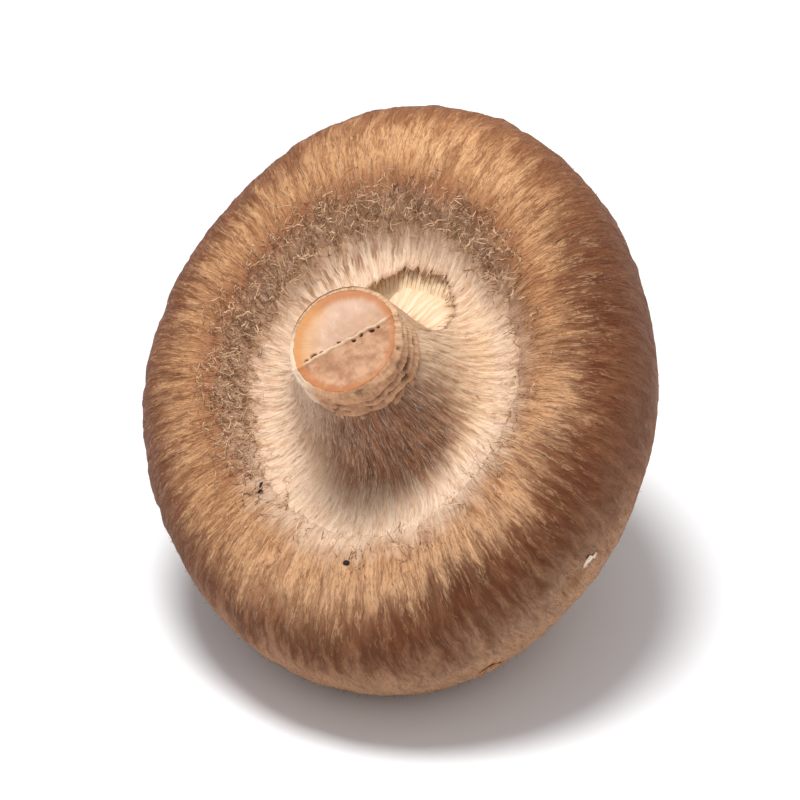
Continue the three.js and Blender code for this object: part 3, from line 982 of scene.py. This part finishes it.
class Growth(Tree):
    """A geometry tree. Its inputs are in into by name, and place is a point's own position."""

    def __init__(self, name, inputs):
        group = bpy.data.node_groups.new(name, "GeometryNodeTree")
        super().__init__(group)
        for key, kind in {"Geometry": "Geometry", **inputs, "Material": "Material"}.items():
            group.interface.new_socket(key, in_out="INPUT", socket_type="NodeSocket" + kind)
        group.interface.new_socket("Geometry", in_out="OUTPUT", socket_type="NodeSocketGeometry")
        source = group.nodes.new("NodeGroupInput")
        self.into = {out.name: Wire(self, out) for out in source.outputs if out.name}
        self.place = self.add("GeometryNodeInputPosition")

    def vector(self, operation, *values, out=0):
        return self.add("ShaderNodeVectorMath", dict(enumerate(values)), out,
                        operation=operation)

    def scaled(self, vector, amount):
        return self.add("ShaderNodeVectorMath", {0: vector, "Scale": amount},
                        operation="SCALE")

    def named(self, name):
        """A vector that the mesh carries under a name."""
        return self.add("GeometryNodeInputNamedAttribute", {"Name": name},
                        data_type="FLOAT_VECTOR")

    def keep_along(self, shape, along):
        """Stores how far along its length each point of a shape is, for the shader."""
        return self.add("GeometryNodeStoreNamedAttribute", {
            "Geometry": shape, "Name": "along", "Value": self.join(along, 0.0, 0.0)},
            data_type="FLOAT_VECTOR")

    def scatter(self):
        """Spreads points by the length of 'lie', and gives them and a stray aim along it."""
        into, lie = self.into, self.named("lie")
        points = self.add("GeometryNodeDistributePointsOnFaces", {
            "Mesh": into["Geometry"], "Seed": into["Seed"],
            "Density": self.vector("LENGTH", lie, out=1) * into["Density"]})
        stray = self.add("FunctionNodeRandomValue", {
            0: (-1.0, -1.0, -1.0), 1: (1.0, 1.0, 1.0), "Seed": into["Seed"]},
            data_type="FLOAT_VECTOR")
        aim = self.vector("ADD", self.vector("NORMALIZE", lie),
                          self.scaled(stray, into["Spread"]))
        return points, aim

    def turn(self, axis, vector, first=None, **options):
        """A rotation that points an axis along a vector, after the rotation in first."""
        sockets = {"Vector": vector} if first is None else {"Rotation": first, "Vector": vector}
        return self.add("FunctionNodeAlignRotationToVector", sockets, axis=axis, **options)

    def plant(self, points, shape, smallest, largest, **sockets):
        """Stands a shape of random size at each point, as real geometry."""
        size = self.add("FunctionNodeRandomValue", {
            2: smallest, 3: largest, "Seed": self.into["Seed"]}, 1, data_type="FLOAT")
        stand = self.add("GeometryNodeInstanceOnPoints", {
            "Points": points, "Instance": shape, "Scale": self.join(size, size, size),
            **sockets})
        return self.real(stand)

    def real(self, geometry):
        return self.add("GeometryNodeRealizeInstances", {"Geometry": geometry})

    def move(self, geometry, place):
        return self.add("GeometryNodeSetPosition", {"Geometry": geometry, "Position": place})

    def bend(self, geometry, scale, amount):
        """Moves points by smooth noise."""
        noise = self.noise(self.place, scale, 1.0, out=1)
        drift = self.vector("SUBTRACT", noise, (0.5, 0.5, 0.5))
        return self.add("GeometryNodeSetPosition", {
            "Geometry": geometry, "Offset": self.scaled(drift, amount)})

    def finish(self, geometry):
        """Ends the tree in real geometry that carries its material."""
        done = self.add("GeometryNodeSetMaterial", {
            "Geometry": self.real(geometry), "Material": self.into["Material"]})
        out = self.tree.nodes.new("NodeGroupOutput")
        self.tree.links.new(done.socket, out.inputs[0])
        return self


def grow(name, base, tree, values):
    """Runs a geometry tree on a base mesh and gives the result as a plain mesh."""
    holder = bpy.data.objects.new(name + "_base", base)
    bpy.context.scene.collection.objects.link(holder)
    modifier = holder.modifiers.new("grow", "NODES")
    modifier.node_group = tree.tree
    ids = {item.name: item.identifier for item in tree.tree.interface.items_tree
           if item.in_out == "INPUT"}
    for key, value in values.items():
        modifier[ids[key]] = value
    bpy.context.view_layer.update()
    graph = bpy.context.evaluated_depsgraph_get()
    mesh = bpy.data.meshes.new_from_object(
        holder.evaluated_get(graph), preserve_all_data_layers=True, depsgraph=graph)
    mesh.name = name
    holder.modifiers.clear()
    bpy.data.objects.remove(holder)
    if not len(mesh.polygons):
        raise RuntimeError(f"{name} came out empty")
    return mesh


def gill_tree():
    """A ring of blades round the stem, stretched to the cap's outline."""
    tree = Growth("gill_ring", {
        "Count": "Int", "Inner radius": "Float", "Outer radius": "Float",
        "Root height": "Float", "Edge height": "Float", "Thickness": "Float",
        "Flare radius": "Float", "Lip radius": "Float"})
    into = tree.into
    inner, outer = into["Inner radius"], into["Outer radius"]
    root, top = into["Root height"], into["Edge height"]
    reach, tall = outer - inner, top - root
    blade = tree.add("GeometryNodeMeshCube", {
        "Size": tree.join(reach, into["Thickness"], tall),
        "Vertices X": 12, "Vertices Y": 2, "Vertices Z": 4})
    middle = tree.join((outer + inner) * 0.5, 0.0, (top + root) * 0.5)
    blade = tree.add("GeometryNodeTransform", {"Geometry": blade, "Translation": middle})
    # The edge falls away towards both ends of a blade.
    x, y, z = tree.split(tree.place)
    way, high = (x - inner) / reach, (z - root) / tall
    ends = 1 - way.hill(-0.05, 0.5, 1.05) ** 0.35
    thin = 1 - high * 0.15
    blade = tree.move(blade, tree.join(x, y * thin, z - high * ends * tall * 0.6))
    points = tree.add("GeometryNodePoints", {"Count": into["Count"]})
    turn = tree.add("GeometryNodeInputIndex") / into["Count"] * TAU
    ring = tree.real(tree.add("GeometryNodeInstanceOnPoints", {
        "Points": points, "Instance": blade, "Rotation": tree.join(0.0, 0.0, turn)}))
    # The blades waver a little, and follow the outline of the cap.
    far = (x * x + y * y) ** 0.5
    angle = y.math("ARCTAN2", x)
    swell = 1.0
    for lobes, share, at in OUTLINE_WAVES:
        swell = ((angle - math.radians(at)) * lobes).math("COSINE") * share + swell
    scale = (swell - 1) * far.ramp(into["Flare radius"], into["Lip radius"]) + 1
    waver = (tree.noise(tree.place, 260.0, 1.0) - 0.5) * 0.0007
    return tree.finish(tree.move(
        ring, tree.join(x * scale - y / far * waver, y * scale + x / far * waver, z)))


class SHIITAKE_OT_gills(PieceOperator, bpy.types.Operator):
    """Builds the ring of gills under the veil"""

    bl_idname = "shiitake.gills"
    bl_label = "Gills"

    def build(self):
        gills = settings().gills
        mesh = grow("gill_ring", bpy.data.meshes.new("gill_base"), gill_tree(), {
            "Count": gills.count, "Inner radius": gills.inner, "Outer radius": gills.outer,
            "Root height": (CEILING_HEIGHT + 0.1) * MM, "Edge height": gills.edge,
            "Thickness": GILL_THICKNESS, "Flare radius": settings().stem.flare_radius,
            "Lip radius": settings().cap.lip, "Material": new_material(
                "gill_flesh", gill_paint, roughness=0.75, depth=0.06, sheen=0.1)})
        finish_piece("gill_ring", mesh, "gills")


def strand_tree():
    """Strands that stand on a surface: its 'lie' gives their direction and how many there are."""
    tree = Growth("strands", {
        "Density": "Float", "Length": "Float", "Thickness": "Float", "Spread": "Float",
        "Curl": "Float", "Waves": "Float", "Segments": "Int", "Seed": "Int"})
    into = tree.into
    strand = tree.add("GeometryNodeMeshCone", {
        "Vertices": 3, "Side Segments": into["Segments"],
        "Radius Top": into["Thickness"] * 0.2, "Radius Bottom": into["Thickness"] * 0.5,
        "Depth": into["Length"]}, fill_type="NGON")
    strand = tree.keep_along(strand, tree.split(tree.place)[2] / into["Length"])
    points, aim = tree.scatter()
    stand = tree.plant(points, strand, 0.45, 1.15, Rotation=tree.turn("Z", aim))
    way = tree.split(tree.named("along"))[0]
    bent = tree.bend(stand, into["Waves"], way * into["Curl"])
    return tree.finish(tree.add("GeometryNodeSetShadeSmooth", {"Geometry": bent}))


def flake_tree():
    """Torn flakes that lie on a surface along its 'lie', with one end curled up."""
    tree = Growth("flakes", {
        "Density": "Float", "Length": "Float", "Spread": "Float", "Seed": "Int"})
    size = tree.into["Length"]
    plate = tree.add("GeometryNodeMeshCube", {
        "Size": tree.join(size, size * 0.6, size * 0.05),
        "Vertices X": 6, "Vertices Y": 4, "Vertices Z": 2})
    x, y, z = tree.split(tree.place)
    way = x / size + 0.5
    narrow = 1.15 - 3.2 * (way - 0.45) * (way - 0.45)
    curl = way * way * size * 0.1 - size * 0.015
    plate = tree.keep_along(tree.move(plate, tree.join(x, y * narrow, z + curl)), way)
    points, aim = tree.scatter()
    upright = tree.turn("Z", Wire(tree, points.socket.node.outputs["Normal"]))
    stand = tree.plant(points, plate, 0.35, 1.2,
                       Rotation=tree.turn("X", aim, first=upright, pivot_axis="Z"))
    return tree.finish(tree.bend(stand, 700.0, size * 0.35))


def crumb_tree():
    """An uneven crumb at each point."""
    tree = Growth("crumb_heap", {"Size": "Float", "Seed": "Int"})
    size = tree.into["Size"]
    ball = tree.add("GeometryNodeMeshIcoSphere", {"Radius": size, "Subdivisions": 3})
    heap = tree.plant(tree.into["Geometry"], ball, 0.35, 1.1)
    return tree.finish(tree.bend(heap, 3500.0, size * 1.6))


def unit(vectors):
    return vectors / np.maximum(np.linalg.norm(vectors, axis=-1, keepdims=True), 1e-9)


def facing(grain, degrees):
    at = math.radians(degrees)
    return grain[..., 0] * math.cos(at) + grain[..., 1] * math.sin(at)


def grow_piece(name, tree, grid, lie, values, press=False):
    """Grows strands or flakes on an open sheet, along its lie, as a laid-down piece."""
    base = skin(name + "_sheet", grid, None, poles=(True, False), attributes={"lie": lie})
    mesh = grow(name, base, tree, values)
    finish_piece(name, mesh, None, press)


class SHIITAKE_OT_hairs(PieceOperator, bpy.types.Operator):
    """Grows curly hairs on the slope of the margin, and strands on the veil and the skin"""

    bl_idname = "shiitake.hairs"
    bl_label = "Hairs"

    def strands(self, name, slot, grid, aim, thick, finish, **values):
        """Strands that stand along aim, thickest where thick is 1. Lengths in millimetres."""
        lengths = {key: values[key] * MM for key in ("Length", "Thickness", "Curl")}
        values = {**values, **lengths, "Material": strand_finish(*finish)}
        grow_piece(name, strand_tree(), grid, unit(aim) * thick[..., None], values)

    def build(self):
        veil = settings().veil
        grid, values = cap_grid()
        share, grain = values["zone"][..., 0], values["grain"]
        normal = surface_normals(grid)
        inward = unit(np.gradient(grid, axis=0))
        # Curly hairs on the slope of the margin, thickest above and to the left.
        thick = smooth(0.88, 0.93, share) * (1 - smooth(0.985, 1.0, share))
        thick = thick * (0.1 + 0.9 * smooth(-0.4, 0.5, facing(grain, 145)))
        self.strands("margin_hairs", "veil", grid, normal * 0.6 + inward * 0.5, thick,
                     ("hair", (142, 94, 62), (240, 200, 158)),
                     Density=veil.hairs * 1.1e6, Length=1.9, Thickness=0.095, Spread=0.9,
                     Curl=3.6, Waves=1100.0, Segments=6, Seed=veil.seed)
        # Wool that lies along the outside of the margin.
        thick = smooth(0.5, 0.62, share) * (1 - smooth(0.9, 0.94, share))
        self.strands("skin_wool", "cap", grid, normal * 0.35 + inward, thick,
                     ("wool", (106, 62, 36), (122, 76, 46)),
                     Density=veil.hairs * 0.3e6, Length=0.55, Thickness=0.035, Spread=0.5,
                     Curl=1.0, Waves=1300.0, Segments=2, Seed=veil.seed + 1)
        # Silky strands on the veil, from the margin to the stem.
        face, normal, values = veil_grid(VEIL_RINGS)
        share, torn = values["zone"][..., 0], values["zone"][..., 1]
        reach, grain = values["form"][..., 0], values["grain"]
        inward = unit(np.gradient(face, axis=0))
        foot = smooth(12.5, 11.0, reach) * smooth(-0.2, 0.5, facing(grain, FOOT_TURN))
        thick = smooth(0.1, 0.2, share) * (torn < 0.5) * (0.3 + 0.7 * foot)
        self.strands("veil_strands", "veil", face,
                     normal * (0.18 + 0.35 * foot[..., None]) - inward, thick,
                     ("strand", (176, 136, 104), (238, 208, 174)),
                     Density=veil.strands * 1e6, Length=1.2, Thickness=0.05, Spread=0.28,
                     Curl=0.8, Waves=1100.0, Segments=3, Seed=veil.seed + 2)
        # A fringe that hangs into the tear.
        self.strands("tear_fringe", "veil", face, inward + normal * -0.25, torn,
                     ("fringe", (228, 194, 160), (186, 138, 98)),
                     Density=13e6, Length=1.3, Thickness=0.11, Spread=0.4,
                     Curl=0.7, Waves=900.0, Segments=3, Seed=veil.seed + 3)


# Chips of skin: turn round the stem in degrees, share of the way, colours of root and tip.
CHIPS = {
    "nick_chip": (338, 0.665, (196, 150, 110), (242, 222, 198)),
    "edge_chip": (309, 0.60, (120, 74, 44), (190, 130, 80)),
}
CHIP_SPOT = 0.035
# Crumbs: turn round the stem in degrees, and share of the way.
CRUMBS = ((243.5, 0.949), (244.4, 0.945), (246, 0.943), (284.5, 0.914))


class SHIITAKE_OT_flakes(PieceOperator, bpy.types.Operator):
    """Scatters torn flakes on the crown and a few crumbs on the margin"""

    bl_idname = "shiitake.flakes"
    bl_label = "Flakes"

    def build(self):
        grid, values = cap_grid()
        share, edge = values["zone"][..., 0], values["zone"][..., 2]
        along = unit(np.gradient(grid, axis=0))
        x, y, z = np.moveaxis(grid, -1, 0)
        patches = smooth(0.05, 0.5, lumps(x, y, z, 4.2, 61))
        thick = (0.05 + 1.2 * edge + 0.9 * patches) * (1 - smooth(0.32, 0.5, share))
        grow_piece("crown_flakes", flake_tree(), grid, along * thick[..., None], {
            "Density": 0.42e6, "Length": 2.2 * MM, "Spread": 1.2, "Seed": 8,
            "Material": strand_finish("flake", (140, 90, 54), (186, 134, 88), 0.8)},
            press=True)
        # A pale chip stands in the nick, and a brown one on the lower edge.
        for name, (turn, at, root, tip) in CHIPS.items():
            near = np.hypot(apart(np.arctan2(y, x), math.radians(turn)), (share - at) * 4)
            grow_piece(name, flake_tree(), grid, along * (near < CHIP_SPOT)[..., None], {
                "Density": 1.3e6, "Length": 1.7 * MM, "Spread": 0.5, "Seed": 3,
                "Material": strand_finish(name, root, tip, 0.8)})
        # Dark crumbs of growing bed cling to the slope.
        rows, columns = share.shape
        spots = [grid[round(at * rows) - 1, round(turn / 360 * columns)]
                 for turn, at in CRUMBS]
        base = bpy.data.meshes.new("crumb_spots")
        base.from_pydata((np.array(spots) * MM).tolist(), [], [])
        mesh = grow("crumbs", base, crumb_tree(), {
            "Size": 0.3 * MM, "Seed": 11,
            "Material": strand_finish("crumb", (46, 30, 22), (70, 44, 30), 0.8)})
        finish_piece("crumbs", mesh, None)


FLOOR_HALF = 3.0
FLOOR_DROP = 0.00005
# Lights: place, width and power. They look at a point just above the floor.
LIGHTS = {"key": ((-0.10, 0.0, 0.75), 0.26, 5.2), "fill": ((0.1, -0.6, 0.5), 0.5, 0.5)}
LIGHT_AIM = Vector((0, 0, 0.02))
CAMERA_AWAY = 0.7
CAMERA_ELEVATION = math.radians(35)
VIEW_WIDTH = 0.086


class SHIITAKE_OT_stage(PieceOperator, bpy.types.Operator):
    """Sets up the floor, the soft light and the camera"""

    bl_idname = "shiitake.stage"
    bl_label = "Stage"

    def floor(self, scene):
        mesh = bpy.data.meshes.new("floor")
        corners = ((-1, -1), (1, -1), (1, 1), (-1, 1))
        mesh.from_pydata([(x * FLOOR_HALF, y * FLOOR_HALF, -FLOOR_DROP) for x, y in corners],
                         [], [(0, 1, 2, 3)])
        paper = bpy.data.materials.new("floor_white")
        paper.use_nodes = True
        shader = paper.node_tree.nodes["Principled BSDF"]
        shader.inputs["Base Color"].default_value = (0.93, 0.93, 0.94, 1)
        shader.inputs["Roughness"].default_value = 0.9
        mesh.materials.append(paper)
        ground = bpy.data.objects.new("floor", mesh)
        scene.collection.objects.link(ground)
        ground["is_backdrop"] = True

    def light(self, scene):
        world = bpy.data.worlds.new("studio")
        world.use_nodes = True
        background = world.node_tree.nodes["Background"]
        background.inputs["Color"].default_value = (0.94, 0.97, 1.0, 1)
        background.inputs["Strength"].default_value = 0.46
        scene.world = world
        for name, (place, size, power) in LIGHTS.items():
            light = bpy.data.lights.new(name, "AREA")
            light.shape, light.size, light.energy = "DISK", size, power
            self.aim(scene, bpy.data.objects.new(name, light), Vector(place), LIGHT_AIM)

    def aim(self, scene, item, place, at):
        """Links a light or a camera that looks from one point at another."""
        item.location = place
        item.rotation_mode = "QUATERNION"
        item.rotation_quaternion = (at - place).to_track_quat("-Z", "Y")
        scene.collection.objects.link(item)

    def build(self):
        scene = bpy.context.scene
        self.floor(scene)
        self.light(scene)
        camera = bpy.data.cameras.new("camera")
        camera.sensor_width = 36
        camera.lens = camera.sensor_width * CAMERA_AWAY / VIEW_WIDTH
        camera.clip_start, camera.clip_end = 0.05, 20
        low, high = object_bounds()
        middle = (low + high) / 2
        back = Vector((0, -math.cos(CAMERA_ELEVATION), math.sin(CAMERA_ELEVATION)))
        scene.camera = bpy.data.objects.new("camera", camera)
        self.aim(scene, scene.camera, middle + back * CAMERA_AWAY, middle)
        scene.view_settings.view_transform = "Standard"


# The add-on.

class ShiitakeSettings(bpy.types.PropertyGroup):
    cap: bpy.props.PointerProperty(type=CapSettings, name="Cap", description="The cap")
    veil: bpy.props.PointerProperty(type=VeilSettings, name="Veil", description="The veil")
    stem: bpy.props.PointerProperty(type=StemSettings, name="Stem", description="The stem")
    gills: bpy.props.PointerProperty(type=GillSettings, name="Gills", description="The gills")


OPERATORS = (SHIITAKE_OT_cap, SHIITAKE_OT_veil, SHIITAKE_OT_stem, SHIITAKE_OT_gills,
             SHIITAKE_OT_hairs, SHIITAKE_OT_flakes, SHIITAKE_OT_stage)


class SHIITAKE_PT_panel(bpy.types.Panel):
    """Lists the sizes, the colours and the steps that build the mushroom"""

    bl_label = "Shiitake"
    bl_idname = "SHIITAKE_PT_panel"
    bl_space_type = "VIEW_3D"
    bl_region_type = "UI"
    bl_category = "Shiitake"

    def draw(self, context):
        for group in ("cap", "veil", "stem", "gills"):
            values = getattr(context.scene.shiitake, group)
            box = self.layout.box()
            box.label(text=group.capitalize())
            for key in values.__annotations__:
                box.prop(values, key)
        for operator in OPERATORS:
            self.layout.operator(operator.bl_idname)


CLASSES = (CapSettings, VeilSettings, StemSettings, GillSettings, ShiitakeSettings,
           *OPERATORS, SHIITAKE_PT_panel)


def register():
    for item in CLASSES:
        bpy.utils.register_class(item)
    bpy.types.Scene.shiitake = bpy.props.PointerProperty(type=ShiitakeSettings)


def unregister():
    del bpy.types.Scene.shiitake
    for item in reversed(CLASSES):
        bpy.utils.unregister_class(item)


def main():
    register()
    for operator in OPERATORS:
        group, name = operator.bl_idname.split(".")
        getattr(getattr(bpy.ops, group), name)()


if __name__ == "__main__":
    main()
